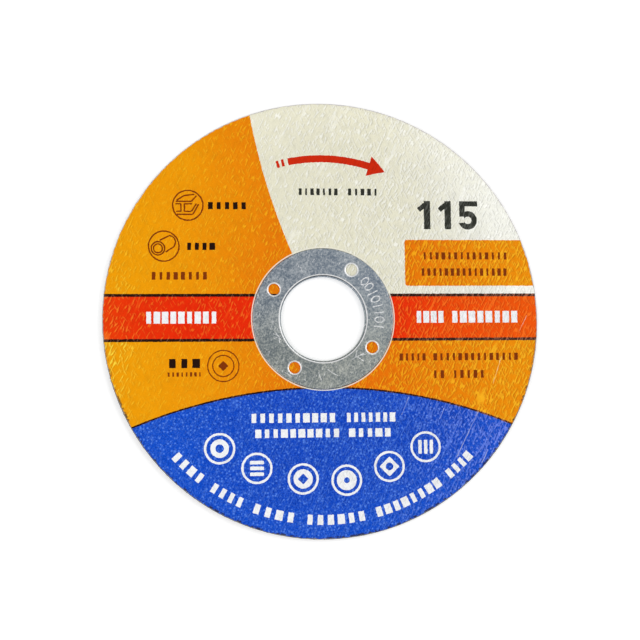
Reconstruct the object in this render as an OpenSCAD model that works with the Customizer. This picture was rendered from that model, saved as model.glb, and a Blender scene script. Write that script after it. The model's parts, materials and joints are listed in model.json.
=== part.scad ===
// Flat cut-off wheel for an angle grinder: a thin pressed abrasive disc with a printed
// paper label on its face and a steel ring that lines the bore.
// Millimetres. The origin is the middle of the back face, and the label faces +Z.

/* [Wheel] */
// Outside diameter of the wheel
wheel_d = 115; // [100:1:125]
// Thickness of the wheel at its rim, label included
wheel_t = 1.6; // [1.3:0.1:3]

/* [Centre ring] */
// Diameter of the hole that fits the spindle
bore_d = 22.23; // [20:0.01:23]
// Outside diameter of the ring's flange
ring_d = 37.2; // [35:0.1:42]
// Thickness of the ring's tinned steel sheet
sheet_t = 0.3; // [0.25:0.05:0.4]
// Inside radius of the bend between flange and collar
bend_r = 0.25; // [0.15:0.05:0.4]
// Round that the punch leaves on the upper edges of the flange
punch_round = 0.2; // [0.05:0.05:0.2]
// Height of the collar's end above the back face
collar_end = 0.1; // [0.05:0.05:0.4]

/* [Keying holes] */
// Number of holes in the flange
key_count = 4; // [2:1:8]
// Diameter of each hole
key_d = 3; // [2:0.1:3.5]
// Diameter of the circle that the holes lie on
key_pitch_d = 30; // [29:0.1:31]
// Angle of the first hole, from +X
key_angle = 59.2; // [0:0.1:90]
// Depth of the label below the flange's face inside a hole
key_drop = 0.1; // [0.05:0.05:0.15]

/* [Label] */
// Thickness of the label's paper
paper_t = 0.1; // [0.05:0.05:0.15]
// Bare width between the label and the rim
rim_margin = 0.3; // [0.1:0.1:1]

/* [Fits] */
// Room between the ring's edges and the pressed seat around them
seat_gap = 0.05; // [0.02:0.01:0.1]

/* [Hidden] */
$fn = 96;
wheel_r = wheel_d / 2;
bore_r = bore_d / 2;
ring_r = ring_d / 2;
key_r = key_d / 2;
// Levels of the disc's face, the flange's underside and the seat pressed into the disc
face_z = wheel_t - paper_t;
flange_z = wheel_t - sheet_t;
seat_z = flange_z - paper_t;
// The bend's outer radius and its centre in the ring's section
bend_outer_r = bend_r + sheet_t;
bend_centre_r = bore_r + bend_outer_r;
bend_centre_z = wheel_t - bend_outer_r;
// Radii of the disc's hole, the label's hole and the seat's wall
hole_r = bore_r + sheet_t + seat_gap;
label_hole_r = hole_r + bend_r;
seat_r = ring_r + seat_gap + paper_t;
label_r = wheel_r - rim_margin;
// The stud of abrasive mix that the pressing leaves in each keying hole, under the label
stud_r = key_r - seat_gap - paper_t;
stud_top = wheel_t - key_drop - paper_t;
// The cup that the label forms over each stud; it grows out of the middle of the paper
cup_r = stud_r + paper_t;
cup_top = stud_top + paper_t;
cup_base = seat_z + paper_t / 2;
// The print is laid out in parts of the wheel's radius
band_top = 0.101 * wheel_r;
band_bottom = -0.0905 * wheel_r;
rule_w = 0.012 * wheel_r;
upper_rule = band_top + rule_w;
lower_rule = band_bottom - rule_w;
wedge_r = 3.021 * wheel_r;
wedge_centre = [2.645 * wheel_r, 1.47 * wheel_r];
panel_left = 0.382 * wheel_r;
panel_bottom = 0.15 * wheel_r;
panel_h = 0.214 * wheel_r;
panel_round = 0.011 * wheel_r;
skirt_top = -0.32 * wheel_r;
skirt_r = 2.26 * wheel_r;
skirt_line = 0.007 * wheel_r;
// Colours of the mix, the steel and the inks
mix_colour = [0.20, 0.19, 0.18];
steel_colour = [0.66, 0.67, 0.67];
cream = [0.88, 0.87, 0.80];
orange = [0.93, 0.55, 0.03];
red = [0.91, 0.20, 0.03];
blue = [0.14, 0.31, 0.77];
black = [0.10, 0.07, 0.05];

// Repeats its child at every keying hole
module at_key_holes() {
    for (i = [0 : key_count - 1])
        rotate(key_angle + i * 360 / key_count)
            translate([key_pitch_d / 2, 0, 0])
                children();
}

// The studs of mix that stand up from the seat into the keying holes
module key_studs() {
    at_key_holes()
        translate([0, 0, seat_z - paper_t])
            cylinder(r = stud_r, h = stud_top - seat_z + paper_t);
}

// Pressed disc with a sunk seat for the flange and a bevel that clears the ring's bend
module abrasive_disc() {
    color(mix_colour) {
        rotate_extrude()
            polygon([
                [hole_r, 0],
                [wheel_r, 0],
                [wheel_r, face_z],
                [seat_r, face_z],
                [seat_r, seat_z],
                [label_hole_r, seat_z],
                [hole_r, seat_z - bend_r]
            ]);
        key_studs();
    }
}

// The label before printing: it follows the disc down into the seat and over the studs
module label_blank() {
    difference() {
        union() {
            rotate_extrude()
                polygon([
                    [label_hole_r, seat_z],
                    [seat_r, seat_z],
                    [seat_r, face_z],
                    [label_r, face_z],
                    [label_r, wheel_t],
                    [seat_r - paper_t, wheel_t],
                    [seat_r - paper_t, flange_z],
                    [label_hole_r, flange_z]
                ]);
            at_key_holes()
                translate([0, 0, cup_base])
                    cylinder(r = cup_r, h = cup_top - cup_base);
        }
        key_studs();
    }
}

// Strip across the whole print between two levels
module strip(low, high) {
    polygon([[-wheel_d, low], [wheel_d, low], [wheel_d, high], [-wheel_d, high]]);
}

// Pale wedge at the upper right, its left edge a shallow curve
module wedge_shape() {
    intersection() {
        strip(upper_rule, wheel_d);
        translate(wedge_centre)
            circle(r = wedge_r);
    }
}

// Panel on the wedge that runs out to the rim, its two left corners rounded
module panel_shape() {
    translate([panel_left, panel_bottom]) {
        translate([panel_round, 0])
            square([wheel_d, panel_h]);
        translate([0, panel_round])
            square([wheel_d, panel_h - 2 * panel_round]);
        for (level = [panel_round, panel_h - panel_round])
            translate([panel_round, level])
                circle(r = panel_round);
    }
}

// Arched skirt at the bottom of the print, grown outward by a margin
module skirt_shape(margin) {
    translate([0, skirt_top - skirt_r])
        circle(r = skirt_r + margin);
}

// The part of the label that one field of the print covers
module inked(ink) {
    color(ink)
        intersection() {
            label_blank();
            linear_extrude(wheel_t)
                children();
        }
}

// Printed label, one coloured field beside the other
module paper_label() {
    inked(red)
        strip(band_bottom, band_top);
    inked(black) {
        strip(band_top, upper_rule);
        strip(lower_rule, band_bottom);
        difference() {
            skirt_shape(skirt_line);
            skirt_shape(0);
        }
    }
    inked(cream)
        difference() {
            wedge_shape();
            panel_shape();
        }
    inked(orange) {
        difference() {
            strip(upper_rule, wheel_d);
            wedge_shape();
        }
        panel_shape();
        difference() {
            strip(-wheel_d, lower_rule);
            skirt_shape(skirt_line);
        }
    }
    inked(blue)
        skirt_shape(0);
}

// Section of the ring's sheet: flange, bend and collar
module ring_section() {
    difference() {
        translate([bend_centre_r, flange_z])
            square([ring_r - bend_centre_r, sheet_t]);
        translate([ring_r - punch_round, wheel_t - punch_round])
            difference() {
                square(2 * punch_round);
                circle(r = punch_round);
            }
    }
    translate([bend_centre_r, bend_centre_z])
        intersection() {
            difference() {
                circle(r = bend_outer_r);
                circle(r = bend_r);
            }
            translate([-bend_outer_r, 0])
                square(bend_outer_r);
        }
    translate([bore_r, collar_end])
        square([sheet_t, bend_centre_z - collar_end]);
}

// Punched hole with a rounded upper edge
module punched_hole() {
    translate([0, 0, flange_z - sheet_t])
        cylinder(r = key_r, h = 3 * sheet_t);
    translate([0, 0, wheel_t - punch_round])
        rotate_extrude()
            difference() {
                square([key_r + punch_round, 2 * punch_round]);
                translate([key_r + punch_round, 0])
                    circle(r = punch_round);
            }
}

// Drawn steel ring with its flange flush in the label's face
module centre_ring() {
    color(steel_colour)
        difference() {
            rotate_extrude()
                ring_section();
            at_key_holes()
                punched_hole();
        }
}

abrasive_disc();
paper_label();
centre_ring();
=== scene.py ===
"""A flat cut-off wheel lying label up: printed paper on a pressed abrasive disc with a steel ring."""
import json
import math
import random

import bmesh
import bpy
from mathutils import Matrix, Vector


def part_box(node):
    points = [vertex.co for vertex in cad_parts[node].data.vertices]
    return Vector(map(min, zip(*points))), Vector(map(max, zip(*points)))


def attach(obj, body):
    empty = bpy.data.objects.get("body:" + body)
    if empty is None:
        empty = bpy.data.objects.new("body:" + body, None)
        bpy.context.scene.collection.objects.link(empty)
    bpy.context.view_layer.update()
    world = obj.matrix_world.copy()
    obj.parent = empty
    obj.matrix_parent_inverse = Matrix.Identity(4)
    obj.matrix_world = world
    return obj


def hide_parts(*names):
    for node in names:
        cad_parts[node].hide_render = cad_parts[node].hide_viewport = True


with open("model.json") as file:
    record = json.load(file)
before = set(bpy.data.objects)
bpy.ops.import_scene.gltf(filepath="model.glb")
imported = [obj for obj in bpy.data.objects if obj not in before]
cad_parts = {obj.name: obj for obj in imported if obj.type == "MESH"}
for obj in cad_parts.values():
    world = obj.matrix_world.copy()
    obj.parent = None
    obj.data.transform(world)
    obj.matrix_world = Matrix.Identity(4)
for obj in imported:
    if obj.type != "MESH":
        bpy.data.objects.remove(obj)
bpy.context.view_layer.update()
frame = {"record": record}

# Sizes that the solids give, in metres
MM = 0.001
disc_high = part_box("abrasive_disc")[1]
label_low, label_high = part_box("paper_label")
ring_low, ring_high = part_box("centre_ring")
mounts = {mount["name"]: mount for mount in frame["record"]["mounts"]}
wheel_r = disc_high.y
label_r = label_high.y
ring_r = ring_high.y
top_z = label_high.z
face_z = disc_high.z
seat_z = label_low.z
collar_end_z = ring_low.z
bore_r = mounts["spindle_bore"]["dims"]["r_mm"] * MM
paper_t = top_z - face_z
flange_z = seat_z + paper_t
sheet_t = top_z - flange_z

# Sizes of the ring's bend, punched edges, keying holes and seat
BEND_R = 0.25 * MM
PUNCH_ROUND = 0.2 * MM
KEY_R = 1.5 * MM
KEY_PITCH_R = 15 * MM
KEY_ANGLES = [math.radians(59.2 + 90 * quarter) for quarter in range(4)]
KEY_DROP = 0.1 * MM
SEAT_GAP = 0.05 * MM
bend_outer_r = BEND_R + sheet_t
hole_r = bore_r + sheet_t + SEAT_GAP
label_hole_r = hole_r + BEND_R
seat_r = ring_r + SEAT_GAP + paper_t
pad_r = KEY_R - SEAT_GAP
key_places = [(KEY_PITCH_R * math.cos(a), KEY_PITCH_R * math.sin(a)) for a in KEY_ANGLES]


# Modelling steps that the pieces share

def clear_selection():
    """Leaves nothing selected, so that an operator acts only on what comes next."""
    bpy.ops.object.select_all(action="DESELECT")


def make_active(piece):
    clear_selection()
    piece.select_set(True)
    bpy.context.view_layer.objects.active = piece


def arc(centre, radius, start, end, steps):
    """Points of a round in an outline, from one angle to another in degrees."""
    points = []
    for i in range(steps + 1):
        angle = math.radians(start + (end - start) * i / steps)
        points.append((centre[0] + radius * math.cos(angle), centre[1] + radius * math.sin(angle)))
    return points


def repeated_round(piece, count):
    """Copies of a piece, evenly turned about the upright axis and made one mesh with it."""
    pivot = bpy.data.objects.new("pivot", None)
    bpy.context.scene.collection.objects.link(pivot)
    pivot.rotation_euler = (0, 0, 2 * math.pi / count)
    bpy.context.view_layer.update()
    around = piece.modifiers.new("around", "ARRAY")
    around.count = count
    around.use_relative_offset = False
    around.use_object_offset = True
    around.offset_object = pivot
    apply_all(piece)
    bpy.data.objects.remove(pivot)


def close_seams(piece):
    """Merges the doubled vertices where sectors meet, and turns all faces outwards."""
    make_active(piece)
    bpy.ops.object.mode_set(mode="EDIT")
    bpy.ops.mesh.select_all(action="SELECT")
    bpy.ops.mesh.remove_doubles(threshold=0.002 * MM)
    bpy.ops.mesh.normals_make_consistent(inside=False)
    bpy.ops.object.mode_set(mode="OBJECT")


SECTORS = 8


def turned(name, outline, steps):
    """A closed outline of (radius, height) points, spun round the upright axis sector by sector."""
    clear_selection()
    bpy.ops.mesh.primitive_plane_add(size=MM)
    piece = bpy.context.object
    piece.name = name
    bpy.ops.object.mode_set(mode="EDIT")
    bpy.ops.mesh.merge(type="CENTER")
    bpy.ops.transform.translate(value=(outline[0][0], 0, outline[0][1]))
    for (r0, z0), (r1, z1) in zip(outline, outline[1:] + outline[:1]):
        bpy.ops.mesh.extrude_region_move(TRANSFORM_OT_translate={"value": (r1 - r0, 0, z1 - z0)})
    bpy.ops.mesh.select_all(action="SELECT")
    sector = 2 * math.pi / SECTORS
    bpy.ops.mesh.spin(steps=steps // SECTORS, angle=sector, center=(0, 0, 0), axis=(0, 0, 1))
    bpy.ops.object.mode_set(mode="OBJECT")
    repeated_round(piece, SECTORS)
    close_seams(piece)
    return piece


def copied(piece, name):
    """A copy with a mesh of its own, selected and active."""
    make_active(piece)
    bpy.ops.object.duplicate(linked=False)
    bpy.context.object.name = name
    return bpy.context.object


def place(piece, spot, turn=(0, 0, 0)):
    """Turns and moves a piece, and puts that place into its mesh."""
    piece.rotation_euler = turn
    piece.location = spot
    make_active(piece)
    bpy.ops.object.transform_apply(location=True, rotation=True, scale=True)


def joined(pieces, name):
    """Several meshes as one piece."""
    make_active(pieces[0])
    for piece in pieces:
        piece.select_set(True)
    if len(pieces) > 1:
        bpy.ops.object.join()
    bpy.context.object.name = name
    return bpy.context.object


def apply_all(piece):
    make_active(piece)
    for modifier in list(piece.modifiers):
        bpy.ops.object.modifier_apply(modifier=modifier.name)


def cut(piece, tool, operation):
    """Takes a tool's shape out of a piece, or keeps only what lies inside it."""
    modifier = piece.modifiers.new("cut", "BOOLEAN")
    modifier.object = tool
    modifier.operation = operation
    modifier.solver = "EXACT"
    apply_all(piece)


def hold_flats(piece):
    """Level faces keep their own shading where they run into a round."""
    make_active(piece)
    bpy.ops.object.mode_set(mode="EDIT")
    bpy.ops.mesh.select_mode(type="FACE")
    mesh = bmesh.from_edit_mesh(piece.data)
    for face in mesh.faces:
        face.select_set(abs(face.normal.z) > 0.9999)
    bmesh.update_edit_mesh(piece.data)
    bpy.ops.mesh.mod_weighted_strength(set=True, face_strength="STRONG")
    bpy.ops.object.mode_set(mode="OBJECT")


def smooth(piece, angle, keep_flats=False):
    """Rounds shade smoothly, edges sharper than the angle stay crisp."""
    make_active(piece)
    bpy.ops.object.shade_smooth_by_angle(angle=math.radians(angle))
    if keep_flats:
        hold_flats(piece)
        modifier = piece.modifiers.new("flats", "WEIGHTED_NORMAL")
        modifier.keep_sharp = True
        modifier.use_face_influence = True
        apply_all(piece)


def weigh(piece, group_name, weight_at):
    """A vertex group whose weights come from each vertex's place."""
    group = piece.vertex_groups.new(name=group_name)
    for vertex in piece.data.vertices:
        weight = weight_at(vertex.co)
        if weight > 0:
            group.add([vertex.index], weight, "REPLACE")


def roughen(piece, group_name, noise, grain, turn, strength, direction, middle):
    """Pushes a group of vertices by a noise whose grain has a length, a width and a turn.

    Where the noise has its middle value, nothing moves.
    """
    guide = bpy.data.objects.new("grain guide", None)
    bpy.context.scene.collection.objects.link(guide)
    guide.scale = (grain[0], grain[1], grain[1])
    guide.rotation_euler = (0, 0, math.radians(turn))
    bpy.context.view_layer.update()
    texture = bpy.data.textures.new("grain", "CLOUDS")
    texture.noise_type = noise
    texture.noise_scale = 1.0
    texture.noise_depth = 0
    modifier = piece.modifiers.new("grain", "DISPLACE")
    modifier.texture = texture
    modifier.texture_coords = "OBJECT"
    modifier.texture_coords_object = guide
    modifier.vertex_group = group_name
    modifier.direction = direction
    modifier.strength = strength
    modifier.mid_level = middle
    apply_all(piece)
    bpy.data.objects.remove(guide)
    bpy.data.textures.remove(texture)


def lay_out(piece, unrolled, middle, scale):
    """A flat map that unrolls a turned piece round one place, its open face whole."""
    layer = piece.data.uv_layers.new(name="OFBake")
    for face in piece.data.polygons:
        for corner in face.loop_indices:
            spot = piece.data.vertices[piece.data.loops[corner].vertex_index].co
            toward = spot if math.hypot(spot.x, spot.y) > 0.01 * MM else face.center
            angle = math.atan2(toward.y, toward.x)
            away = scale * unrolled(spot, face)
            u = middle[0] + away * math.cos(angle)
            v = middle[1] + away * math.sin(angle)
            layer.data[corner].uv = (u, v)


# The paper label

LABEL_STEPS = 864
LABEL_RINGS = 92
LIP = 0.06 * MM
CRINKLE_FADE = 0.8 * MM
# Crinkles of the face: noise, length and width, turn, height, and the level that stays in place
CRINKLES = [
    ("HARD_NOISE", (2.6 * MM, 0.9 * MM), 62, -0.08 * MM, 0.45),
    ("HARD_NOISE", (2.4 * MM, 0.9 * MM), -60, -0.07 * MM, 0.45),
    ("SOFT_NOISE", (6 * MM, 5 * MM), 20, 0.03 * MM, 0.5),
]
FRAY_LENGTH = 0.9 * MM
FRAY_DEPTH = 0.3 * MM
# Dome of the label in a keying hole: share of its radius, and drop in millimetres
PAD_DOME = [(0, 0), (0.35, 0.005), (0.65, 0.025), (0.85, 0.07)]
# The flat maps: middle, reach and spare edge, and the four corners for the keying holes
MAP_MIDDLE = (0.5, 0.5)
MAP_REACH = 0.49
MAP_SPARE = 0.5 * MM
MAP_CORNERS = [(0.93, 0.93), (0.07, 0.93), (0.07, 0.07), (0.93, 0.07)]
CORNER_REACH = 0.065
HIDDEN_SCALE = 0.23


def label_outline():
    inner_r = seat_r - paper_t
    rings = []
    for i in range(1, LABEL_RINGS):
        rings.append((inner_r + LIP + (label_r - inner_r - 2 * LIP) * i / LABEL_RINGS, top_z))
    return [
        (label_hole_r, seat_z),
        (label_hole_r, flange_z),
        (inner_r, flange_z),
        *arc((inner_r + LIP, top_z - LIP), LIP, 180, 90, 2),
        *rings,
        *arc((label_r - LIP, top_z - LIP), LIP, 90, 0, 2),
        (label_r, face_z),
        (seat_r, face_z),
        (seat_r, seat_z),
    ]


def face_weight(spot):
    """Full on the label's open face, fading out at the rim and at the ring."""
    if spot.z < top_z - 0.2 * LIP:
        return 0
    radius = math.hypot(spot.x, spot.y)
    return min(1, (label_r - radius) / CRINKLE_FADE, (radius - seat_r) / CRINKLE_FADE + 0.2)


def edge_weight(spot):
    return 1 if math.hypot(spot.x, spot.y) > label_r - 0.5 * LIP else 0


def label_unrolled(spot, face):
    """Distance from the map's middle.

    Walls fold outwards or inwards, and the underside shrinks into the hole.
    """
    radius = math.hypot(spot.x, spot.y)
    drop = top_z - spot.z
    face_r = math.hypot(face.center.x, face.center.y)
    outwards = face.normal.x * face.center.x + face.normal.y * face.center.y > 0.5 * face_r
    if face.normal.z < -0.5 or (outwards and face.center.z < face_z):
        way = radius - label_hole_r + spot.z - seat_z
        return label_hole_r - (top_z - seat_z) - HIDDEN_SCALE * way
    if face_r < seat_r - paper_t + LIP:
        return radius - drop
    if face_r > label_r - LIP:
        return radius + drop
    return radius


def pad_unrolled(spot, face):
    """Distance from the crown along the dome, down the wall and back under the pad."""
    radius = math.hypot(spot.x, spot.y)
    if face.normal.z > 0.3:
        return radius
    return pad_r + flange_z - spot.z + pad_r - radius


def key_pad():
    """The label's bulge in one keying hole, a shallow dome with a slack edge."""
    crown_z = top_z - KEY_DROP
    outline = [
        *[(share * pad_r, crown_z - drop * MM) for share, drop in PAD_DOME],
        (pad_r, flange_z),
        (pad_r, seat_z),
        (0, seat_z),
    ]
    return turned("key pad", outline, 40)


def build_label():
    label = turned("label", label_outline(), LABEL_STEPS)
    weigh(label, "face", face_weight)
    weigh(label, "edge", edge_weight)
    for noise, grain, turn, height, middle in CRINKLES:
        roughen(label, "face", noise, grain, turn, height, "Z", middle)
    roughen(label, "edge", "SOFT_NOISE", (FRAY_LENGTH, FRAY_LENGTH), 0, FRAY_DEPTH, "NORMAL", 0.2)
    lay_out(label, label_unrolled, MAP_MIDDLE, MAP_REACH / (label_r + MAP_SPARE))
    pad = key_pad()
    pads = []
    for (x, y), map_corner in zip(key_places, MAP_CORNERS):
        pads.append(copied(pad, "key pad copy"))
        lay_out(pads[-1], pad_unrolled, map_corner, CORNER_REACH / (2 * KEY_R + sheet_t))
        place(pads[-1], (x, y, 0))
    bpy.data.objects.remove(pad)
    label = joined([label] + pads, "label")
    smooth(label, 50)
    return label


# The pressed abrasive disc, the grains on its rim and the glass net in its back

DISC_STEPS = 1440
RIM_ROWS = 8
NET_DEPTH = 0.07 * MM
GRIT_LENGTH = 0.45 * MM
GRIT_HEIGHT = 0.22 * MM


def disc_outline():
    rows = [(wheel_r, face_z + (NET_DEPTH - face_z) * i / RIM_ROWS) for i in range(RIM_ROWS + 1)]
    return [
        (hole_r, NET_DEPTH),
        (hole_r, seat_z - BEND_R),
        (label_hole_r, seat_z),
        (seat_r, seat_z),
        (seat_r, face_z),
        (label_r - MM, face_z),
        (label_r, face_z),
        *rows,
        (wheel_r - MM, NET_DEPTH),
    ]


def rim_weight(spot):
    """Full on the rim's wall, less at its two edges."""
    if math.hypot(spot.x, spot.y) < wheel_r - 0.01 * MM:
        return 0
    return 1 if 1.5 * NET_DEPTH < spot.z < face_z - NET_DEPTH else 0.25


def disc_unrolled(spot, face):
    """Distance from the map's middle.

    The rim folds outwards, and all that the label hides shrinks into the hole.
    """
    radius = math.hypot(spot.x, spot.y)
    height = spot.z - NET_DEPTH
    face_r = math.hypot(face.center.x, face.center.y)
    if face.normal.z < -0.5 and face_r < wheel_r - 0.3 * MM:
        return radius
    if face_r < label_r:
        return hole_r - HIDDEN_SCALE * (radius - hole_r + height)
    if face.normal.z > 0.7 and face_r < wheel_r - 0.1 * MM:
        return wheel_r + face_z - NET_DEPTH + wheel_r - radius
    return wheel_r + height


def build_disc():
    disc = turned("disc", disc_outline(), DISC_STEPS)
    weigh(disc, "rim", rim_weight)
    roughen(disc, "rim", "HARD_NOISE", (GRIT_LENGTH, GRIT_LENGTH), 0, GRIT_HEIGHT, "NORMAL", 0.5)
    lay_out(disc, disc_unrolled, MAP_MIDDLE, MAP_REACH / (wheel_r + face_z + MAP_SPARE))
    smooth(disc, 40)
    return disc


GRAIN_SIZE = 0.2 * MM
GRAINS_A_PATCH = 40
PATCHES = 60


def build_grains(dice):
    """Sharp grit standing out of the rim: one patch of turned copies, repeated round the wheel."""
    clear_selection()
    bpy.ops.mesh.primitive_ico_sphere_add(subdivisions=1, radius=GRAIN_SIZE)
    grain = bpy.context.object
    bpy.ops.object.mode_set(mode="EDIT")
    bpy.ops.mesh.select_all(action="SELECT")
    bpy.ops.transform.vertex_random(offset=0.3 * GRAIN_SIZE, seed=7)
    broken_at = (0, 0, 0.5 * GRAIN_SIZE)
    bpy.ops.mesh.bisect(plane_co=broken_at, plane_no=(0.2, 0.1, 1), use_fill=True, clear_outer=True)
    bpy.ops.object.mode_set(mode="OBJECT")
    span = 2 * math.pi / PATCHES
    grains = []
    for i in range(GRAINS_A_PATCH):
        angle = span * (i + dice.random()) / GRAINS_A_PATCH
        on_rim = i % 3 < 2
        radius = wheel_r - (0.1 if on_rim else 0.22) * MM - 0.06 * MM * dice.random()
        height = dice.uniform(0.25 * MM, face_z - 0.2 * MM) if on_rim else face_z - 0.08 * MM
        one = copied(grain, "grain")
        size = dice.uniform(0.55, 1.0)
        one.scale = (size, size * dice.uniform(0.6, 1), size)
        turn = [dice.uniform(0, 2 * math.pi) for axis in range(3)]
        place(one, (radius * math.cos(angle), radius * math.sin(angle), height), turn)
        grains.append(one)
    bpy.data.objects.remove(grain)
    patch = joined(grains, "rim_grains")
    repeated_round(patch, PATCHES)
    return patch


NET_PITCH = 5 * MM
NET_R = 57.1 * MM
NET_HOLE_R = 11.9 * MM
THREAD_W = 1.2 * MM
THREAD_T = 0.09 * MM
THREAD_STEP = 1.25 * MM
WEAVE = 0.02 * MM


def thread(start, end, over):
    """One flat glass thread along X that rises and dips from crossing to crossing."""
    steps = max(2, round((end - start) / THREAD_STEP))

    def level(along):
        return over * WEAVE * math.cos(math.pi * along / NET_PITCH)

    clear_selection()
    bpy.ops.mesh.primitive_circle_add(vertices=8, radius=0.5, fill_type="NGON")
    strand = bpy.context.object
    strand.scale = (THREAD_T, THREAD_W, 1)
    place(strand, (start, 0, level(start)), (0, math.radians(90), 0))
    bpy.ops.object.mode_set(mode="EDIT")
    bpy.ops.mesh.select_all(action="SELECT")
    for i in range(steps):
        at = start + (end - start) * i / steps
        then = start + (end - start) * (i + 1) / steps
        move = (then - at, 0, level(then) - level(at))
        bpy.ops.mesh.extrude_region_move(TRANSFORM_OT_translate={"value": move})
    bpy.ops.mesh.select_all(action="SELECT")
    bpy.ops.mesh.normals_make_consistent(inside=False)
    bpy.ops.object.mode_set(mode="OBJECT")
    return strand


def build_net():
    """Threads both ways across the back, stopped short of the rim and the bore."""
    reach = int(NET_R / NET_PITCH)
    strands = []
    for row in range(-reach, reach + 1):
        off = row * NET_PITCH
        end = math.sqrt(NET_R ** 2 - off ** 2)
        clear = math.sqrt(max(0, NET_HOLE_R ** 2 - off ** 2))
        spans = [(-end, -clear), (clear, end)] if clear else [(-end, end)]
        over = 1 if row % 2 else -1
        for start, stop in spans:
            warp = thread(start, stop, over)
            weft = thread(start, stop, -over)
            place(warp, (0, off, 0.5 * THREAD_T + WEAVE))
            place(weft, (off, 0, 0.5 * THREAD_T + WEAVE), (0, 0, math.radians(90)))
            strands += [warp, weft]
    net = joined(strands, "glass_net")
    smooth(net, 60)
    return net


# The steel ring

RING_STEPS = 256


def ring_outline():
    bend = (bore_r + bend_outer_r, top_z - bend_outer_r)
    corner = (ring_r - PUNCH_ROUND, top_z - PUNCH_ROUND)
    flat_in = bend[0] + 0.05 * MM
    flat_out = corner[0] - 0.05 * MM
    return [
        (bore_r, collar_end_z),
        (bore_r, 0.5 * (collar_end_z + bend[1])),
        *arc(bend, bend_outer_r, 180, 90, 8),
        (flat_in, top_z),
        (0.5 * (flat_in + flat_out), top_z),
        (flat_out, top_z),
        *arc(corner, PUNCH_ROUND, 90, 0, 5),
        (ring_r, flange_z),
        *arc(bend, BEND_R, 90, 180, 5),
        (bore_r + sheet_t, collar_end_z),
    ]


def keep_quarter(piece, middle):
    """Cuts away all but the quarter of a turned piece that lies round one angle."""
    make_active(piece)
    bpy.ops.object.mode_set(mode="EDIT")
    for side in (-1, 1):
        edge = middle + side * math.pi / 4
        away = (-side * math.sin(edge), side * math.cos(edge), 0)
        bpy.ops.mesh.select_all(action="SELECT")
        bpy.ops.mesh.bisect(plane_co=(0, 0, 0), plane_no=away, clear_outer=True)
    bpy.ops.object.mode_set(mode="OBJECT")


def build_ring():
    """The drawn ring: a quarter with one punched keying hole, repeated round."""
    ring = turned("ring", ring_outline(), RING_STEPS)
    outline = [
        (0, flange_z - sheet_t),
        (KEY_R, flange_z - sheet_t),
        (KEY_R, flange_z),
        *arc((KEY_R + PUNCH_ROUND, top_z - PUNCH_ROUND), PUNCH_ROUND, 180, 90, 5),
        (KEY_R + PUNCH_ROUND, top_z + sheet_t),
        (0, top_z + sheet_t),
    ]
    punch = turned("punch", outline, 48)
    place(punch, (*key_places[0], 0))
    cut(ring, punch, "DIFFERENCE")
    bpy.data.objects.remove(punch)
    keep_quarter(ring, KEY_ANGLES[0])
    repeated_round(ring, len(KEY_ANGLES))
    close_seams(ring)
    smooth(ring, 35, keep_flats=True)
    return ring


# Finishes

def ink(red, green, blue):
    """A colour given as it looks, in parts of 255, for a shader."""
    channels = []
    for value in (red, green, blue):
        share = value / 255
        channels.append(share / 12.92 if share <= 0.04045 else ((share + 0.055) / 1.055) ** 2.4)
    return (*channels, 1.0)


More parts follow.
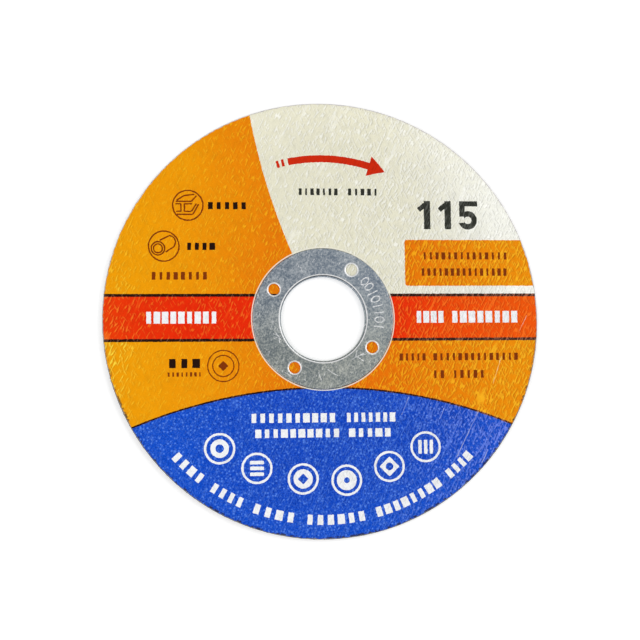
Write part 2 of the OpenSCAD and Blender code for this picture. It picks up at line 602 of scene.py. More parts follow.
class Finish:
    """A material made of nodes, with a short call for each kind of node used here."""

    def __init__(self, name):
        self.material = bpy.data.materials.new(name)
        self.material.use_nodes = True
        self.nodes = self.material.node_tree.nodes
        self.links = self.material.node_tree.links
        self.nodes.clear()
        self.shader = self.nodes.new("ShaderNodeBsdfPrincipled")
        output = self.nodes.new("ShaderNodeOutputMaterial")
        self.links.new(self.shader.outputs["BSDF"], output.inputs["Surface"])
        self.spot = self.nodes.new("ShaderNodeTexCoord").outputs["Object"]

    def feed(self, socket, value):
        if isinstance(value, bpy.types.NodeSocket):
            self.links.new(value, socket)
        else:
            socket.default_value = value

    def fed(self, node, inputs):
        """Feeds a node and hands back its outputs."""
        for place, value in inputs.items():
            self.feed(node.inputs[place], value)
        return node.outputs

    def math(self, operation, a, b=0.0):
        node = self.nodes.new("ShaderNodeMath")
        node.operation = operation
        return self.fed(node, {0: a, 1: b})[0]

    def times(self, a, b):
        return self.math("MULTIPLY", a, b)

    def plus(self, a, b):
        return self.math("ADD", a, b)

    def minus(self, a, b):
        return self.math("SUBTRACT", a, b)

    def most(self, a, b):
        return self.math("MAXIMUM", a, b)

    def vector(self, operation, a, b=(0, 0, 0)):
        node = self.nodes.new("ShaderNodeVectorMath")
        node.operation = operation
        result = "Value" if operation in ("LENGTH", "DISTANCE") else "Vector"
        return self.fed(node, {0: a, 1: b})[result]

    def turn(self, vector, angle):
        node = self.nodes.new("ShaderNodeVectorRotate")
        node.rotation_type = "Z_AXIS"
        return self.fed(node, {"Vector": vector, "Angle": math.radians(angle)})[0]

    def split(self, vector):
        return self.fed(self.nodes.new("ShaderNodeSeparateXYZ"), {0: vector})

    def mix(self, share, a, b):
        node = self.nodes.new("ShaderNodeMix")
        node.data_type = "RGBA"
        return self.fed(node, {0: share, 6: a, 7: b})[2]

    def millimetres(self):
        """The place on the piece, in millimetres."""
        return self.vector("MULTIPLY", self.spot, (1 / MM, 1 / MM, 1 / MM))

    def laid_flat(self, spot):
        return self.vector("MULTIPLY", spot, (1, 1, 0))

    def noise(self, vector, scale, detail=2.0, roughness=0.5, output="Fac"):
        node = self.nodes.new("ShaderNodeTexNoise")
        inputs = {"Vector": vector, "Scale": scale, "Detail": detail, "Roughness": roughness}
        return self.fed(node, inputs)[output]

    def shaken(self, spot, scale, amount):
        """A place shaken about by three noises at once."""
        smear = self.vector("SUBTRACT", self.noise(spot, scale, output="Color"), (0.5, 0.5, 0.5))
        return self.vector("ADD", spot, self.vector("MULTIPLY", smear, (amount, amount, amount)))

    def voronoi(self, vector, scale, feature="F1", dimensions="3D"):
        """Random cells: the colour of each, and the distance to its middle or its edge."""
        node = self.nodes.new("ShaderNodeTexVoronoi")
        node.voronoi_dimensions = dimensions
        node.feature = feature
        return self.fed(node, {"Vector": vector, "Scale": scale})

    def flecks(self, flat, scale, size, share):
        """Small round flecks, one in each of some random cells."""
        cells = self.voronoi(flat, scale, dimensions="2D")
        fleck = self.ramp(cells["Distance"], size, 0.3 * size)
        chosen = self.math("LESS_THAN", self.split(cells["Color"])["X"], share)
        return self.times(fleck, chosen)

    def dice(self, value):
        """A random number for each whole number."""
        node = self.nodes.new("ShaderNodeTexWhiteNoise")
        node.noise_dimensions = "1D"
        return self.fed(node, {"W": value})["Value"]

    def drawn_out(self, flat, turn, length, width):
        """A noise drawn out along one direction."""
        along = self.vector("MULTIPLY", self.turn(flat, -turn), (1 / length, 1 / width, 1))
        return self.noise(along, 1.0, 0.0)

    def strokes(self, flat, turn, length, width, share):
        """Separate short strokes that lie one way, more of them where the share is high."""
        wave = self.plus(self.drawn_out(flat, turn, length, width), self.times(share, 0.1))
        return self.ramp(wave, 0.64, 0.80)

    def creases(self, flat, turn, length, width, line):
        """Long thin creases that lie one way, broken here and there."""
        off = self.math("ABSOLUTE", self.minus(self.drawn_out(flat, turn, length, width), 0.5))
        kept = self.ramp(self.noise(flat, 0.12, 1.0), 0.46, 0.56)
        return self.times(self.ramp(off, line, 0.0), kept)

    def scaled(self, colour, share):
        node = self.nodes.new("ShaderNodeVectorMath")
        node.operation = "SCALE"
        return self.fed(node, {0: colour, "Scale": share})["Vector"]

    def ramp(self, value, low, high, to_low=0.0, to_high=1.0):
        node = self.nodes.new("ShaderNodeMapRange")
        node.interpolation_type = "SMOOTHSTEP"
        inputs = {"Value": value, "From Min": low, "From Max": high, "To Min": to_low, "To Max": to_high}
        return self.fed(node, inputs)["Result"]

    def bump(self, height, strength, distance):
        node = self.nodes.new("ShaderNodeBump")
        inputs = {"Strength": strength, "Distance": distance, "Height": height}
        self.set(Normal=self.fed(node, inputs)["Normal"])

    def set(self, **sockets):
        for name, value in sockets.items():
            self.feed(self.shader.inputs[name.replace("_", " ")], value)

    # Shapes of print, as masks on a flat place in millimetres

    def any_of(self, masks):
        whole = masks[0]
        for mask in masks[1:]:
            whole = self.most(whole, mask)
        return whole

    def all_of(self, masks):
        whole = masks[0]
        for mask in masks[1:]:
            whole = self.times(whole, mask)
        return whole

    def without(self, mask, hole):
        return self.times(mask, self.minus(1.0, hole))

    def polar(self, flat, radius):
        """A place as its way along a circle of this radius, and its distance from the centre."""
        x, y, none = self.split(flat)
        along = self.times(self.math("ARCTAN2", y, x), radius)
        node = self.nodes.new("ShaderNodeCombineXYZ")
        return self.fed(node, {0: along, 1: self.vector("LENGTH", flat)})[0]

    def marks(self, flat, left, right, low, high, count, seed, heavy=True):
        """A row of upright blocks of uneven width, as many as count, heavy or slim."""
        x, y, none = self.split(flat)
        step = self.math("DIVIDE", self.minus(x, left), (right - left) / count)
        narrow, wide = (0.24, 0.4) if heavy else (0.15, 0.3)
        width = self.ramp(self.dice(self.plus(self.math("FLOOR", step), seed)), 0, 1, narrow, wide)
        off = self.math("ABSOLUTE", self.minus(self.math("FRACT", step), 0.5))
        block = self.math("LESS_THAN", off, width)
        return self.all_of([block, self.between(step, 0, count), self.between(y, low, high)])

    def between(self, value, low, high):
        return self.times(self.math("GREATER_THAN", value, low), self.math("LESS_THAN", value, high))

    def dot(self, flat, centre, radius):
        return self.math("LESS_THAN", self.vector("DISTANCE", flat, (*centre, 0)), radius)

    def hoop(self, flat, centre, radius, width):
        off = self.minus(self.vector("DISTANCE", flat, (*centre, 0)), radius)
        return self.math("LESS_THAN", self.math("ABSOLUTE", off), width / 2)

    def bar(self, flat, centre, length, height, turn=0.0, corner=0.2):
        """A bar with rounded corners, turned about its centre."""
        off = self.vector("SUBTRACT", flat, (*centre, 0))
        if turn:
            off = self.turn(off, -turn)
        half = (length / 2 - corner, height / 2 - corner, 1)
        past = self.vector("SUBTRACT", self.vector("ABSOLUTE", off), half)
        over = self.vector("MAXIMUM", past, (0, 0, 0))
        return self.math("LESS_THAN", self.vector("LENGTH", over), corner)


# Layout of the print, in millimetres from the wheel's centre

BAND = (-5.2, 5.8)
RULE_W = 0.76
WEDGE_CENTRE = (152.1, 84.5)
WEDGE_R = 173.7
PANEL = (21.97, 8.63, 20.93)
PANEL_LENGTH = 80
PANEL_ROUND = 0.63
SKIRT_CENTRE = (0, -148.35)
SKIRT_R = 129.95
SKIRT_LINE = 0.45
# Where the cream grows paler towards the rim, as painted sheen, and where the blue grows paler towards it
CREAM_RIM = (43, 57)
BLUE_RIM = (43, 56)
# Inks: a ridge tone is thin ink with a painted highlight on it, a glint tone is a painted highlight, the
# cream's sheen tone is painted sheen, and the pale orange, red and black are partly painted sheen
CREAM = ink(228, 225, 202)
CREAM_SHEEN = ink(234, 234, 225)
CREAM_THIN_HIGHLIGHT = ink(252, 252, 246)
ORANGE = ink(228, 112, 0)
ORANGE_PALE = ink(238, 156, 0)
ORANGE_THIN_HIGHLIGHT = ink(252, 186, 24)
ORANGE_GLINT = ink(255, 220, 64)
RED = ink(230, 40, 0)
RED_PALE = ink(237, 84, 0)
RED_THIN_HIGHLIGHT = ink(252, 124, 34)
BLUE = ink(8, 68, 192)
BLUE_DEEP = ink(6, 46, 152)
BLUE_CLEAR = ink(6, 78, 204)
BLUE_PALE = ink(74, 124, 230)
BLUE_THIN_HIGHLIGHT = ink(100, 150, 246)
BLUE_GLINT = ink(142, 160, 255)
BLACK = ink(34, 14, 6)
BLACK_PALE = ink(62, 38, 28)
BLACK_THIN_HIGHLIGHT = ink(150, 98, 76)
BROWN = ink(128, 52, 4)
DARK = ink(46, 48, 42)
DARK_THIN_HIGHLIGHT = ink(96, 98, 92)
WHITE = ink(243, 244, 246)
ARROW_RED = ink(204, 40, 8)
BARE_PAPER = ink(240, 236, 220)
BARE_RESIN = ink(46, 42, 42)

# Rows of blocks: ink, bottom, top, and for each run its left end, right end and number of blocks
ROWS = [
    (DARK, 32.8, 34.6, [(-6.5, 4.6, 7), (6.6, 15.3, 5)]),
    (BROWN, 15.7, 17.6, [(26.5, 50.0, 14)]),
    (BROWN, 11.3, 13.3, [(26.0, 49.8, 15)]),
    (BLACK, 28.9, 30.8, [(-30.5, -19.6, 5)]),
    (BLACK, 18.1, 20.0, [(-36.0, -28.0, 4)]),
    (BROWN, 10.3, 12.3, [(-45.2, -30.0, 8)]),
    (WHITE, -1.2, 1.9, [(-46.6, -27.6, 9), (24.5, 32.4, 4), (34.0, 52.4, 8)]),
    (BLACK, -12.8, -10.4, [(-41.0, -31.8, 3)]),
    (BROWN, -15.0, -13.9, [(-41.0, -31.8, 8)]),
    (BROWN, -11.2, -9.3, [(19.8, 27.4, 5), (28.8, 52.3, 14)]),
    (BROWN, -15.9, -13.8, [(28.6, 32.4, 2), (34.0, 43.1, 5)]),
    (WHITE, -27.2, -24.8, [(-19.6, 3.2, 10), (5.4, 18.9, 7)]),
    (WHITE, -31.1, -28.9, [(-18.5, 4.2, 10), (6.0, 17.8, 5)]),
]
SEEDS_A_ROW = 40
# White blocks along the rim: distances from the centre, and runs in degrees
ARC_ROW = (51.2, 53.75)
ARC_R = 52.5
ARC_RUNS = [(-138.4, -127.0, 4), (-124.6, -113.8, 4), (-111.6, -98.4, 4), (-96.0, -78.2, 6),
            (-75.8, -54.6, 8), (-52.4, -42.8, 4)]
ROUNDELS = [(-27.4, -33.7), (-17.8, -38.9), (-5.8, -41.8), (5.6, -42.3), (16.9, -38.9), (26.6, -33.9)]
ROUNDEL_R = 3.75
ROUNDEL_LINE = 0.6
BEAM_SIGN = (-35.3, 29.9)
TUBE_SIGN = (-41.6, 19.1)
SIGN_R = 3.95
SIGN_LINE = 0.38
# Lines of the beam: middle from the sign's centre, length and turn
BEAM_LINES = [
    ((-1.15, 1.05), 4.1, 0), ((-2.5, 0.4), 1.5, 0), ((0.1, 0.4), 2.0, 0),
    ((-1.8, -0.6), 2.2, 90), ((-0.9, -0.6), 2.2, 90),
    ((-2.4, -1.6), 1.3, 0), ((0.0, -1.6), 1.8, 0), ((-0.8, -2.4), 4.2, 0),
    ((1.6, 1.8), 2.1, 48), ((1.6, -0.55), 2.5, 56), ((2.05, -1.05), 3.1, 61),
    ((-1.95, 1.95), 2.4, 32), ((0.4, 2.75), 2.8, 7),
]
SEAL = (-26.3, -12.3)
NUMBER_AT = (25.6, 23.8)
NUMBER_H = 7.6
ARROW_R = 42.6
ARROW_SPAN = (66.5, 102.0)


def size_number(finish, flat):
    """The wheel's size in millimetres, 115, in heavy plain figures."""
    left, low = NUMBER_AT
    stem = 1.75
    middle = low + NUMBER_H / 2
    shapes = []
    for x in (left + 2.6, left + 8.2):
        shapes.append(finish.bar(flat, (x, middle), stem, NUMBER_H, corner=0.1))
        shapes.append(finish.bar(flat, (x - 1.15, low + NUMBER_H - 1.5), 2.9, 1.3, 38, 0.1))
    five = left + 13.6
    shapes.append(finish.bar(flat, (five + 0.25, low + NUMBER_H - 0.7), 4.9, 1.4, corner=0.1))
    shapes.append(finish.bar(flat, (five - 1.5, low + NUMBER_H - 2.0), 1.5, 4.0, corner=0.1))
    bowl = finish.hoop(flat, (five, low + 2.45), 1.75, 1.5)
    gap = finish.bar(flat, (five - 2.2, low + 2.6), 2.4, 1.7, corner=0.1)
    shapes.append(finish.without(bowl, gap))
    return finish.any_of(shapes)


def turn_arrow(finish, flat):
    """A plain arrow round the wheel that shows which way it turns."""
    way = finish.polar(flat, ARROW_R)
    tip, tail = [math.radians(angle) * ARROW_R for angle in ARROW_SPAN]
    shaft = finish.bar(way, ((tip + 4 + tail) / 2, ARROW_R), tail - tip - 4, 1.9, corner=0.1)
    along, across, none = finish.split(way)
    off = finish.math("ABSOLUTE", finish.minus(across, ARROW_R))
    from_tip = finish.minus(along, tip)
    taper = finish.math("LESS_THAN", off, finish.times(from_tip, 0.6))
    head = finish.times(taper, finish.math("LESS_THAN", from_tip, 4.6))
    tail_bars = [finish.bar(way, (tail + 1.4 * (i + 1), ARROW_R), 0.7, 1.9, corner=0.1) for i in range(2)]
    return finish.any_of([shaft, head] + tail_bars)


def beam_sign(finish, flat):
    """A rolled beam drawn in outline, in a circle."""
    shapes = [finish.hoop(flat, BEAM_SIGN, SIGN_R, SIGN_LINE)]
    for off, length, turn in BEAM_LINES:
        spot = (BEAM_SIGN[0] + off[0], BEAM_SIGN[1] + off[1])
        shapes.append(finish.bar(flat, spot, length, SIGN_LINE, turn, 0.1))
    return finish.any_of(shapes)


def tube_sign(finish, flat):
    """A tube drawn in outline, in a circle."""
    x, y = TUBE_SIGN
    end = (x - 1.5, y - 0.58)
    shapes = [finish.hoop(flat, TUBE_SIGN, SIGN_R, SIGN_LINE)]
    shapes += [finish.hoop(flat, end, radius, SIGN_LINE) for radius in (1.75, 1.15)]
    shapes.append(finish.bar(flat, (x + 0.1, y + 2.1), 2.5, SIGN_LINE, 27, 0.1))
    shapes.append(finish.bar(flat, (x + 1.55, y - 0.85), 2.7, SIGN_LINE, 33, 0.1))
    far = finish.hoop(flat, (x + 1.3, y + 1.05), 1.75, SIGN_LINE)
    shapes.append(finish.times(far, finish.dot(flat, (x + 3.2, y + 1.9), 2.1)))
    return finish.any_of(shapes)


def seal_sign(finish, flat):
    """Two thin circles round a small diamond."""
    shapes = [finish.hoop(flat, SEAL, radius, 0.3) for radius in (4.05, 2.75)]
    shapes.append(finish.bar(flat, SEAL, 1.9, 1.9, 45, 0.1))
    return finish.any_of(shapes)


def roundel(finish, flat, number):
    """A white circle round one of six plain shapes."""
    centre = ROUNDELS[number]
    x, y = centre
    outer = finish.hoop(flat, centre, ROUNDEL_R, ROUNDEL_LINE)
    if number == 0:
        inner = finish.hoop(flat, centre, 1.75, 1.3)
    elif number == 1:
        inner = finish.any_of([finish.bar(flat, (x, y + 1.5 * i), 3.6, 0.9) for i in (-1, 0, 1)])
    elif number == 2:
        inner = finish.without(finish.dot(flat, centre, 2.5), finish.bar(flat, centre, 2.0, 2.0, 45))
    elif number == 3:
        inner = finish.without(finish.dot(flat, centre, 2.6), finish.dot(flat, centre, 0.75))
    elif number == 4:
        inner = finish.without(finish.bar(flat, centre, 3.7, 3.7, 45, 0.3), finish.dot(flat, centre, 1.0))
    else:
        inner = finish.any_of([finish.bar(flat, (x + 1.5 * i, y), 0.9, 3.6) for i in (-1, 0, 1)])
    return finish.most(outer, inner)


def printed(finish, raw, ridge):
    """The label's fields of colour, rows of blocks and signs, one over the other.

    Each field is paler on the ridges of the paper, where its ink is thin and a painted highlight lies on
    each ridge.
    """
    # The ridges take the tone thin: thin ink with a painted highlight on it
    def field(colour, thin, share=0.6):
        return finish.mix(finish.times(ridge, share), colour, thin)

    flat = finish.laid_flat(finish.shaken(raw, 1.6, 0.28))
    x, y, none = finish.split(flat)
    reach = finish.vector("LENGTH", flat)
    drift = finish.plus(x, finish.times(finish.noise(raw, 0.05), 20.0))
    west = finish.ramp(drift, 14, -40)
    # east grows towards the right and carries the painted sheen there
    east = finish.ramp(drift, 22, 66)
    # Orange all over, paler to the left and, as painted sheen, to the right, with painted glints at the
    # far left and on the right
    paint = finish.mix(finish.most(west, finish.times(east, 0.55)), ORANGE, ORANGE_PALE)
    far = finish.times(finish.ramp(x, -45, -55), finish.ramp(y, 16, -8, 0.3, 1.0))
    far = finish.times(far, finish.ramp(y, -24, -11, 0.5, 1.0))
    glint = finish.most(far, finish.times(east, 0.25))
    sheen = finish.ramp(glint, 0, 1, 0.6, 0.95)
    paint = field(paint, finish.mix(glint, ORANGE_THIN_HIGHLIGHT, ORANGE_GLINT), sheen)
    # The cream wedge, but for the panel, paler to the right and by the rim as painted sheen
    above = finish.math("GREATER_THAN", y, BAND[1] + RULE_W)
    wedge = finish.times(above, finish.dot(flat, WEDGE_CENTRE, WEDGE_R))
    left, low, high = PANEL
    middle = (left + PANEL_LENGTH / 2, (low + high) / 2)
    panel = finish.bar(flat, middle, PANEL_LENGTH, high - low, corner=PANEL_ROUND)
    cream = field(finish.mix(east, CREAM, CREAM_SHEEN), CREAM_THIN_HIGHLIGHT)
    rim_sheen = finish.times(finish.ramp(reach, *CREAM_RIM), finish.ramp(east, 0, 1, 0.05, 0.13))
    cream = finish.scaled(cream, finish.plus(rim_sheen, 1.0))
    paint = finish.mix(finish.without(wedge, panel), paint, cream)
    # The red band between its black rules, both paler to the right and the red paler at its ends, as
    # painted sheen
    black = finish.mix(east, BLACK, BLACK_PALE)
    black = field(black, BLACK_THIN_HIGHLIGHT, finish.ramp(east, 0, 1, 0.45, 0.95))
    paint = finish.mix(finish.between(y, BAND[0] - RULE_W, BAND[1] + RULE_W), paint, black)
    painted_sheen_ends = finish.most(east, finish.ramp(drift, -24, -62, 0.0, 0.55))
    red = field(finish.mix(painted_sheen_ends, RED, RED_PALE), RED_THIN_HIGHLIGHT, sheen)
    paint = finish.mix(finish.between(y, *BAND), paint, red)
    # The blue skirt under a black line, mottled and flecked, its ridges and flecks taking painted
    # highlights that grow brighter to the right
    paint = finish.mix(finish.dot(flat, SKIRT_CENTRE, SKIRT_R + SKIRT_LINE), paint, black)
    clear = finish.most(finish.ramp(drift, 0, -40), finish.ramp(reach, *BLUE_RIM, 0.0, 0.7))
    mottle = finish.ramp(finish.noise(raw, 3.0, 2.0, 0.6), 0.52, 0.3, 0.0, 0.95)
    speck = finish.ramp(finish.noise(raw, 2.8, 2.0, 0.65), 0.46, 0.72, 0.0, 0.6)
    thin = finish.mix(east, BLUE_THIN_HIGHLIGHT, BLUE_GLINT)
    blue = finish.mix(mottle, finish.mix(clear, BLUE, BLUE_CLEAR), BLUE_DEEP)
    blue = field(finish.mix(speck, blue, BLUE_PALE), thin, finish.ramp(east, 0, 1, 0.28, 0.5))
    blue = finish.mix(finish.times(finish.flecks(flat, 1.0, 0.34, 0.45), 0.6), blue, thin)
    paint = finish.mix(finish.dot(flat, SKIRT_CENTRE, SKIRT_R), paint, blue)
    # Rows of blocks, signs, number and arrow
    for number, (colour, bottom, top, runs) in enumerate(ROWS):
        heavy = colour in (BLACK, WHITE)
        seed = SEEDS_A_ROW * number
        blocks = []
        for start, end, count in runs:
            blocks.append(finish.marks(flat, start, end, bottom, top, count, seed, heavy))
        paint = finish.mix(finish.any_of(blocks), paint, colour)
    way = finish.polar(flat, ARC_R)
    white = [roundel(finish, flat, number) for number in range(len(ROUNDELS))]
    for start, end, count in ARC_RUNS:
        span = [math.radians(angle) * ARC_R for angle in (start, end)]
        white.append(finish.marks(way, *span, *ARC_ROW, count, start))
    paint = finish.mix(finish.any_of(white), paint, WHITE)
    brown = [beam_sign(finish, flat), tube_sign(finish, flat), seal_sign(finish, flat)]
    paint = finish.mix(finish.any_of(brown), paint, BROWN)
    paint = finish.mix(size_number(finish, flat), paint, field(DARK, DARK_THIN_HIGHLIGHT))
    return finish.mix(turn_arrow(finish, flat), paint, ARROW_RED)


# The two ways that the paper's crinkles lie: turn, length and width
RISE = (65, 1.8, 0.47)
FALL = (-64, 1.6, 0.47)
# Long creases on the right: middle in millimetres, length and turn
CREASES = [
    ((37.9, -30.7), 13.6, 63), ((21.4, -23.1), 5.2, 67), ((31.1, -25.3), 3.0, 67),
    ((46.3, -13.8), 7.6, 71), ((53.6, -1.4), 4.5, 63), ((42.4, -36.6), 4.0, 64),
]
CREASE_W = 0.22
# The lower rim loses its paper here and there, between these distances inside the label's edge
CHIPPED = (0.55, 0.2)


def paper_finish():
    """Printed paper pressed onto grit: crinkled both ways, matt, with pale folds at the steel, painted
    shadows beside its crinkles and painted light on the crests of its relief.
    """
    finish = Finish("printed paper")
    raw = finish.millimetres()
    flat = finish.laid_flat(raw)
    x, y, height = finish.split(raw)
    east = finish.ramp(x, -40, 35, 0.28, 1.0)
    lit = finish.most(east, finish.ramp(x, -42, -55, 0.28, 0.68))
    few = finish.minus(east, 0.2)
    rise = finish.strokes(flat, *RISE, lit)
    fall = finish.strokes(flat, *FALL, few)
    crease = finish.times(finish.creases(flat, 63, 30.0, 1.7, 0.035), lit)
    shaken = finish.laid_flat(finish.shaken(raw, 1.2, 0.4))
    cracks = [finish.bar(shaken, spot, length, CREASE_W, turn, 0.1) for spot, length, turn in CREASES]
    crack = finish.any_of(cracks)
    ridge = finish.any_of([rise, finish.times(fall, 0.7), crease, crack])
    # Painted shadow on one side of each stroke, stronger where the paper is lit
    beside = finish.vector("ADD", flat, (-0.32, 0.09, 0))
    painted_stroke_shadow = finish.most(finish.strokes(beside, *RISE, lit), finish.strokes(beside, *FALL, few))
    painted_stroke_shadow = finish.without(painted_stroke_shadow, ridge)
    grain = finish.noise(flat, 2.6, 2.0, 0.6)
    # Lighter on the crests of the relief and darker below them: partly thinner ink, partly painted light
    # and shade
    crest = finish.ramp(height, top_z / MM - 0.05, top_z / MM + 0.07, -0.05, 0.05)
    shade = finish.times(finish.times(painted_stroke_shadow, lit), -0.19)
    gain = finish.plus(finish.ramp(grain, 0.3, 0.7, 0.94, 1.02), finish.plus(shade, crest))
    paint = finish.scaled(printed(finish, raw, ridge), gain)
    crack = finish.times(crack, finish.ramp(finish.noise(raw, 0.8), 0.36, 0.64, 0.08, 0.34))
    paint = finish.mix(crack, paint, BARE_PAPER)
    edge = [label_r / MM - inside for inside in CHIPPED]
    chips = finish.all_of([
        finish.ramp(finish.noise(raw, 0.9, 3.0, 0.7), 0.5, 0.56),
        finish.ramp(finish.vector("LENGTH", flat), *edge),
        finish.ramp(y, 4, -30, 0.0, 0.85),
    ])
    paint = finish.mix(chips, paint, BARE_RESIN)
    fold = finish.hoop(flat, (0, 0), seat_r / MM + 0.08, 0.3)
    paint = finish.mix(finish.times(fold, 0.8), paint, BARE_PAPER)
    finish.set(
        Base_Color=paint,
        Roughness=finish.ramp(grain, 0.3, 0.7, 0.42, 0.56),
        Specular_IOR_Level=0.06,
    )
    relief = finish.plus(finish.times(ridge, 0.8), finish.times(grain, 0.35))
    finish.bump(relief, 0.8, 0.1 * MM)
    return finish.material


# Scratches and nicks on the steel: place in millimetres, length and turn
SCRATCHES = [
    ((9.0, -10.0), 3.6, 28), ((9.6, -10.6), 2.6, -35), ((8.6, -9.4), 2.2, 75),
    ((10.2, -9.6), 1.8, 10), ((-11.9, -4.6), 2.2, -55), ((-12.2, -4.9), 1.6, 20),
    ((-11.6, -5.8), 1.4, -75), ((-12.6, -4.2), 1.2, -20), ((2.2, -14.2), 3.4, -32),
    ((-1.0, -15.4), 2.6, -70), ((-9.4, -14.6), 2.4, -30), ((-5.6, 13.0), 1.6, -70),
]
STAMP_R = 14.9
STAMP = "oo|o||o|"
STAMP_SPAN = (45, -12)
STAMP_H = 2.7
STAMP_LINE = 0.28
STAMP_NARROW = 0.62


def stamped(finish, flat):
    """Rings and bars lightly stamped along the flange."""
    way = finish.polar(flat, STAMP_R)
    start, end = [math.radians(angle) * STAMP_R for angle in STAMP_SPAN]
    shapes = []
    for i, kind in enumerate(STAMP):
        along = start + (end - start) * (i + 0.5) / len(STAMP)
        if kind == "o":
            narrow = finish.vector("MULTIPLY", way, (1, STAMP_NARROW, 1))
            shapes.append(finish.hoop(narrow, (along, STAMP_NARROW * STAMP_R), 0.72, STAMP_LINE))
        else:
            shapes.append(finish.bar(way, (along, STAMP_R), STAMP_LINE, STAMP_H, 0, 0.1))
    return finish.any_of(shapes)


def steel_finish():
    """Dull tinned sheet with a mottled skin, painted highlights on its rounded edges, a painted shade in
    the bend at the bore that is darker towards the top, a painted reflection that is bluer towards the
    top, handling scratches and a light stamp.
    """
    finish = Finish("tinned steel")
    raw = finish.millimetres()
    flat = finish.laid_flat(raw)
    height = finish.split(flat)["Y"]
    speckle = finish.noise(raw, 2.2, 4.0, 0.75)
    tone = finish.plus(finish.times(speckle, 0.75), finish.times(finish.noise(raw, 0.2), 0.25))
    # Painted reflection: the steel is bluer towards the top and warmer towards the bottom
    painted_reflection_warmth = finish.ramp(height, 12, -12)
    dull = finish.mix(painted_reflection_warmth, ink(115, 129, 145), ink(121, 131, 135))
    pale = finish.mix(painted_reflection_warmth, ink(194, 200, 204), ink(198, 201, 192))
    paint = finish.mix(finish.ramp(tone, 0.37, 0.69), dull, pale)
    shaken = finish.laid_flat(finish.shaken(raw, 0.8, 0.3))
    lines = [finish.bar(shaken, spot, length, 0.2, turn, 0.08) for spot, length, turn in SCRATCHES]
    lines.append(stamped(finish, shaken))
    lines.append(finish.strokes(flat, 68, 1.6, 0.24, -0.35))
    scored = finish.times(finish.any_of(lines), finish.ramp(speckle, 0.35, 0.6, 0.35, 0.9))
    # Painted highlights along the rounded edges of the keying holes and on the bend at the bore
    edges = [finish.hoop(flat, (x / MM, y / MM), (KEY_R + PUNCH_ROUND) / MM, 0.42) for x, y in key_places]
    edges.append(finish.hoop(flat, (0, 0), (bore_r + bend_outer_r) / MM, 0.3))
    scratches_and_edge_highlights = finish.most(scored, finish.times(finish.any_of(edges), 0.9))
    shade = finish.hoop(flat, (0, 0), (bore_r + 0.5 * bend_outer_r) / MM, 0.2)
    shade = finish.times(shade, finish.ramp(height, -10, 9, 0.35, 0.8))
    paint = finish.mix(shade, paint, ink(60, 62, 64))
    finish.set(
        Base_Color=finish.mix(scratches_and_edge_highlights, paint, ink(250, 250, 250)),
        Metallic=1.0,
        Roughness=finish.ramp(speckle, 0.3, 0.7, 0.34, 0.5),
    )
    finish.bump(finish.minus(speckle, scored), 0.35, 0.03 * MM)
    return finish.material


GRIT_SCALE = 2.4


def mix_finish():
    """Sharp grains, grey and brown, bedded in dark resin with open pores, and paler along the rim, with
    dust and with painted light that grows towards the top.
    """
    finish = Finish("abrasive mix")
    raw = finish.millimetres()
    shaken = finish.shaken(raw, 5.0, 0.16)
    tone, hue, none = finish.split(finish.voronoi(shaken, GRIT_SCALE)["Color"])
    seams = finish.voronoi(shaken, GRIT_SCALE, "DISTANCE_TO_EDGE")["Distance"]
    bedded = finish.ramp(seams, 0.0, 0.32)
    fine = finish.noise(raw, 6.0, 3.0, 0.7)
    pore = finish.ramp(finish.noise(raw, 1.3, 2.0, 0.6), 0.62, 0.7)
    grain = finish.mix(finish.ramp(tone, 0.35, 1.0), ink(82, 80, 77), ink(158, 154, 148))
    grain = finish.mix(finish.ramp(hue, 0.7, 0.9, 0.0, 0.5), grain, ink(118, 98, 80))
    paint = finish.mix(bedded, ink(60, 57, 54), grain)
    paint = finish.mix(finish.times(pore, 0.7), paint, ink(42, 40, 38))
    reach = finish.vector("LENGTH", finish.laid_flat(raw))
    # Paler along the rim: dust, with painted light that grows towards the top
    dust_and_top_light = finish.ramp(reach, wheel_r / MM - 0.9, wheel_r / MM - 0.3)
    dust_and_top_light = finish.times(dust_and_top_light, finish.ramp(finish.split(raw)["Y"], -35, 30, 0.25, 0.9))
    paint = finish.mix(dust_and_top_light, paint, ink(232, 229, 227))
    finish.set(
        Base_Color=finish.scaled(paint, finish.ramp(fine, 0.3, 0.7, 0.82, 1.08)),
        Roughness=finish.ramp(tone, 0.2, 0.9, 0.75, 0.4),
    )
    stand = finish.times(bedded, finish.plus(tone, 0.5))
    relief = finish.minus(finish.plus(stand, finish.times(fine, 0.4)), pore)
    finish.bump(relief, 0.9, 0.12 * MM)
    return finish.material


def glass_finish():
    """Glass thread soaked in resin, its filaments running the way that the thread does."""
    finish = Finish("resin-soaked glass")
    raw = finish.millimetres()
    pitch = NET_PITCH / MM
    row = finish.math("FRACT", finish.plus(finish.math("DIVIDE", finish.split(raw)["Y"], pitch), 0.5))
    off = finish.times(finish.math("ABSOLUTE", finish.minus(row, 0.5)), pitch)
    crosswise = finish.math("GREATER_THAN", off, 0.5 * THREAD_W / MM)
    warp = finish.noise(finish.vector("MULTIPLY", raw, (0.25, 13.0, 1.0)), 1.0, 2.0, 0.6)
    weft = finish.noise(finish.vector("MULTIPLY", raw, (13.0, 0.25, 1.0)), 1.0, 2.0, 0.6)
    filament = finish.mix(crosswise, warp, weft)
    stain = finish.noise(raw, 0.12, 2.0)
    soot = finish.ramp(finish.noise(raw, 1.6, 3.0, 0.7), 0.5, 0.68, 0.0, 0.6)
    tone = finish.plus(finish.times(filament, 0.65), finish.times(stain, 0.35))
    paint = finish.mix(finish.ramp(tone, 0.36, 0.64), ink(94, 89, 82), ink(144, 138, 126))
    paint = finish.mix(soot, paint, ink(70, 66, 61))
    finish.set(Base_Color=paint, Roughness=finish.ramp(filament, 0.3, 0.7, 0.38, 0.62))
    finish.bump(filament, 0.7, 0.05 * MM)
    return finish.material


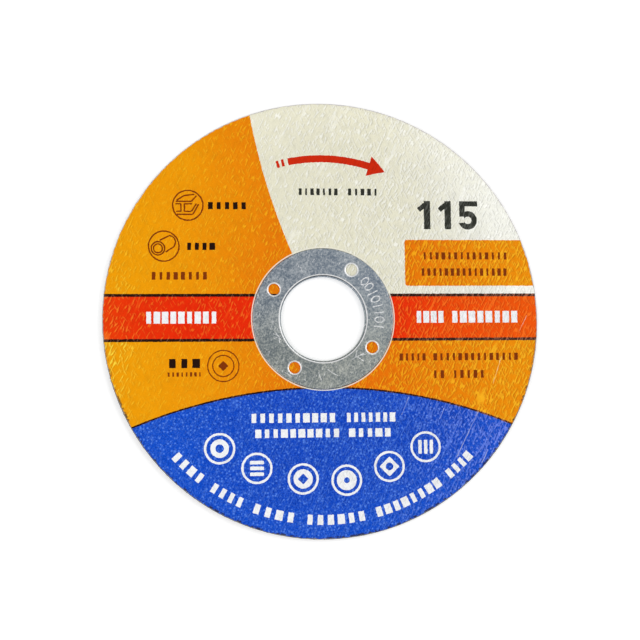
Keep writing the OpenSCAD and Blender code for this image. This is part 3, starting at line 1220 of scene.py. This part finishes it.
def dress(piece, material, slot, *nodes):
    """Gives a piece its finish, hangs it on the root body and hides the solids that it stands for."""
    piece.data.materials.clear()
    piece.data.materials.append(material)
    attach(piece, "root")
    if nodes:
        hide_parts(*nodes)


# Floor, lights and camera

FLOOR_SIZE = 3
SKY_STRENGTH = 0.45
LAMP_SIZE = 1.3
# Each lamp: name, place and power
LAMPS = [("key", (0.95, 0.35, 0.8), 10.6), ("fill", (-0.9, -0.4, 0.85), 8.8)]


def floor_finish():
    finish = Finish("pale floor")
    cloud = finish.noise(finish.spot, 6.0)
    finish.set(Base_Color=finish.mix(cloud, ink(232, 232, 232), ink(238, 238, 238)), Roughness=0.9)
    path = finish.nodes.new("ShaderNodeLightPath")
    seen = finish.most(path.outputs["Is Camera Ray"], path.outputs["Is Glossy Ray"])
    finish.set(Emission_Color=(1, 1, 1, 1), Emission_Strength=finish.times(seen, 0.3))
    return finish.material


def build_stage():
    clear_selection()
    bpy.ops.mesh.primitive_plane_add(size=FLOOR_SIZE)
    floor = bpy.context.object
    floor.name = "floor"
    floor.data.materials.append(floor_finish())
    world = bpy.data.worlds.new("studio")
    bpy.context.scene.world = world
    world.use_nodes = True
    background = world.node_tree.nodes["Background"]
    background.inputs["Color"].default_value = (1, 1, 1, 1)
    background.inputs["Strength"].default_value = SKY_STRENGTH


def area_lamp(name, spot, size, power):
    """A square soft box that faces the wheel."""
    lamp = bpy.data.lights.new(name, "AREA")
    lamp.size = size
    lamp.energy = power
    holder = bpy.data.objects.new(name, lamp)
    holder.location = spot
    holder.rotation_euler = (-Vector(spot)).to_track_quat("-Z", "Y").to_euler()
    bpy.context.scene.collection.objects.link(holder)


CAMERA_SPOT = (-40.5 * MM, -33.3 * MM, 365.7 * MM)
CAMERA_TURN = (5.216, -6.144, -0.752)
CAMERA_LENS = 78.75


def build_camera():
    camera = bpy.data.cameras.new("camera")
    camera.sensor_width = 36
    camera.lens = CAMERA_LENS
    camera.clip_start = 10 * MM
    holder = bpy.data.objects.new("camera", camera)
    holder.location = CAMERA_SPOT
    holder.rotation_euler = [math.radians(angle) for angle in CAMERA_TURN]
    bpy.context.scene.collection.objects.link(holder)
    bpy.context.scene.camera = holder


label = build_label()
disc = build_disc()
grains = build_grains(random.Random(4))
net = build_net()
ring = build_ring()
dress(label, paper_finish(), "printed_paper", "paper_label")
abrasive = mix_finish()
dress(disc, abrasive, "abrasive_mix", "abrasive_disc")
dress(grains, abrasive, "abrasive_mix")
dress(net, glass_finish(), "abrasive_mix")
dress(ring, steel_finish(), "tinned_steel", "centre_ring")
build_stage()
for name, spot, power in LAMPS:
    area_lamp(name, spot, LAMP_SIZE, power)
build_camera()
bpy.context.scene.view_settings.view_transform = "Standard"
